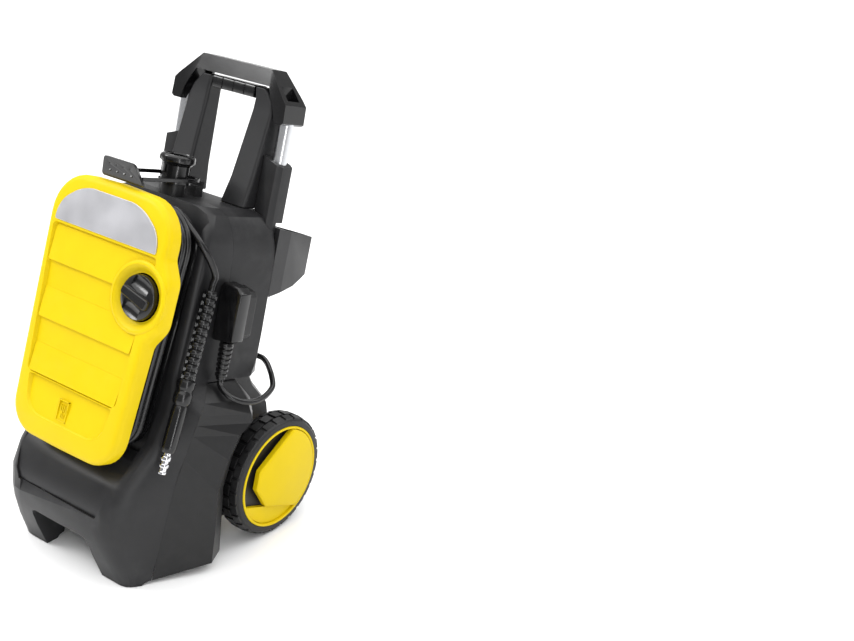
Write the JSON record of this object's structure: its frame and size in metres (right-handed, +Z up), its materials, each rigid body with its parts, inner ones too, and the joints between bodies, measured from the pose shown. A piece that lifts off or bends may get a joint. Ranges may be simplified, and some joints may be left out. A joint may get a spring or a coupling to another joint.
{
  "type": "pressure washer",
  "caption": "Upright wheeled pressure washer with a hose drum under a front cover, pull-out handle, lance pockets and mains cord.",
  "frame": {"origin": "middle of the bounding box of everything but the cords, at the floor", "axes": "+Z up, -Y towards the hose cover at the front, +X to the side that carries the mains plug; the handle tubes lean back 14.35 degrees from +Z"},
  "size_m": [0.3396, 0.3643, 0.5931],
  "materials": {
    "housing_grey": "fine satin grain",
    "panel_grey": "satin",
    "trim_black": "semi-gloss",
    "signal_yellow": "semi-gloss",
    "brushed_silver": "brushed",
    "hose_black": "smooth",
    "tyre_black": "matt",
    "tube_aluminium": "anodised",
    "chrome": "polished",
    "steel": "machined",
    "cap_white": "translucent",
    "pump_cast": "cast"
  },
  "bodies": {
    "housing": {"front_shell": "housing_grey", "rear_shell": "housing_grey", "side_panel_right": "panel_grey", "side_panel_left": "panel_grey", "lance_holder_right": "housing_grey", "lance_holder_left": "housing_grey", "tube_socket_right": "housing_grey", "tube_socket_left": "housing_grey", "frame_arm_right": "housing_grey", "frame_arm_left": "housing_grey", "frame_grip": "trim_black", "hose_cover": "signal_yellow", "trim_plate": "brushed_silver", "power_switch": "trim_black", "hose_drum": "trim_black", "hose_winding": "hose_black", "hose_sleeve": "hose_black", "hose_collar": "hose_black", "hose_grip": "trim_black", "hose_tip": "chrome", "hose_tail": "hose_black", "outlet_base": "tube_aluminium", "outlet_body": "trim_black", "inlet_boss": "trim_black", "inlet_nipple": "trim_black", "detergent_boss": "trim_black", "axle": "steel", "plug_holder": "panel_grey", "mains_plug": "trim_black", "plug_relief": "trim_black", "cord_loop": "hose_black", "cord_gland": "trim_black", "cord_hank": "hose_black", "motor_can": "steel", "pump_block": "pump_cast", "cylinder_head": "pump_cast", "pressure_pipe": "steel", "inlet_pipe": "steel"},
    "pull_handle": {"handle_grip": "trim_black", "handle_tube_left": "tube_aluminium", "handle_tube_right": "tube_aluminium"},
    "wheel_right": {"tyre_right": "tyre_black", "rim_right": "signal_yellow", "hub_inset_right": "panel_grey", "hub_plate_right": "signal_yellow"},
    "wheel_left": {"tyre_left": "tyre_black", "rim_left": "signal_yellow", "hub_inset_left": "panel_grey", "hub_plate_left": "signal_yellow"},
    "knob": {"switch_knob": "trim_black"},
    "strap": {"strap_tab": "trim_black", "strap_band": "hose_black"},
    "outlet_lock": {"outlet_collar": "trim_black"},
    "inlet_coupling": {"inlet_nut": "trim_black"},
    "detergent_plug": {"detergent_cap": "cap_white"},
    "rotor": {"motor_rotor": "steel", "swash_plate": "steel"},
    "plunger_a": {"piston_a": "steel"},
    "plunger_b": {"piston_b": "steel"},
    "plunger_c": {"piston_c": "steel"}
  },
  "joints": [
    {"name": "handle_extend", "type": "slide", "parent": "housing", "child": "pull_handle", "axis": [0, 0.2478, 0.9688], "range_m": [0, 0.22]},
    {"name": "wheel_right_spin", "type": "hinge", "parent": "housing", "child": "wheel_right", "pos_m": [0.0148, 0.0612, 0.08284], "axis": [1, 0, 0], "continuous": true},
    {"name": "wheel_left_spin", "type": "hinge", "parent": "housing", "child": "wheel_left", "pos_m": [0.0148, 0.0612, 0.08284], "axis": [1, 0, 0], "continuous": true},
    {"name": "switch_turn", "type": "hinge", "parent": "housing", "child": "knob", "pos_m": [0.08781, -0.10468, 0.36777], "axis": [0, 0.9428, -0.3332], "range_deg": [0, 90]},
    {"name": "strap_swing", "type": "hinge", "parent": "housing", "child": "strap", "pos_m": [0.0148, 0.05591, 0.45905], "axis": [-1, 0, 0], "range_deg": [0, 60]},
    {"name": "outlet_turn", "type": "hinge", "parent": "housing", "child": "outlet_lock", "pos_m": [0.0148, 0.03103, 0.48117], "axis": [0, 0.2478, 0.9688], "range_deg": [0, 45]},
    {"name": "inlet_nut_spin", "type": "hinge", "parent": "housing", "child": "inlet_coupling", "pos_m": [-0.1153, 0.01138, 0.28881], "axis": [1, 0, 0], "continuous": true},
    {"name": "detergent_cap_pull", "type": "slide", "parent": "housing", "child": "detergent_plug", "axis": [-1, 0, 0], "range_m": [0, 0.015]},
    {"name": "rotor_spin", "type": "hinge", "parent": "housing", "child": "rotor", "pos_m": [0.0148, -0.0341, 0.10722], "axis": [0, 0.2478, 0.9688], "continuous": true},
    {"name": "piston_a_stroke", "type": "slide", "parent": "housing", "child": "plunger_a", "axis": [0, 0.2478, 0.9688], "range_m": [0, 0.007]},
    {"name": "piston_b_stroke", "type": "slide", "parent": "housing", "child": "plunger_b", "axis": [0, 0.2478, 0.9688], "range_m": [0, 0.007]},
    {"name": "piston_c_stroke", "type": "slide", "parent": "housing", "child": "plunger_c", "axis": [0, 0.2478, 0.9688], "range_m": [0, 0.007]}
  ]
}
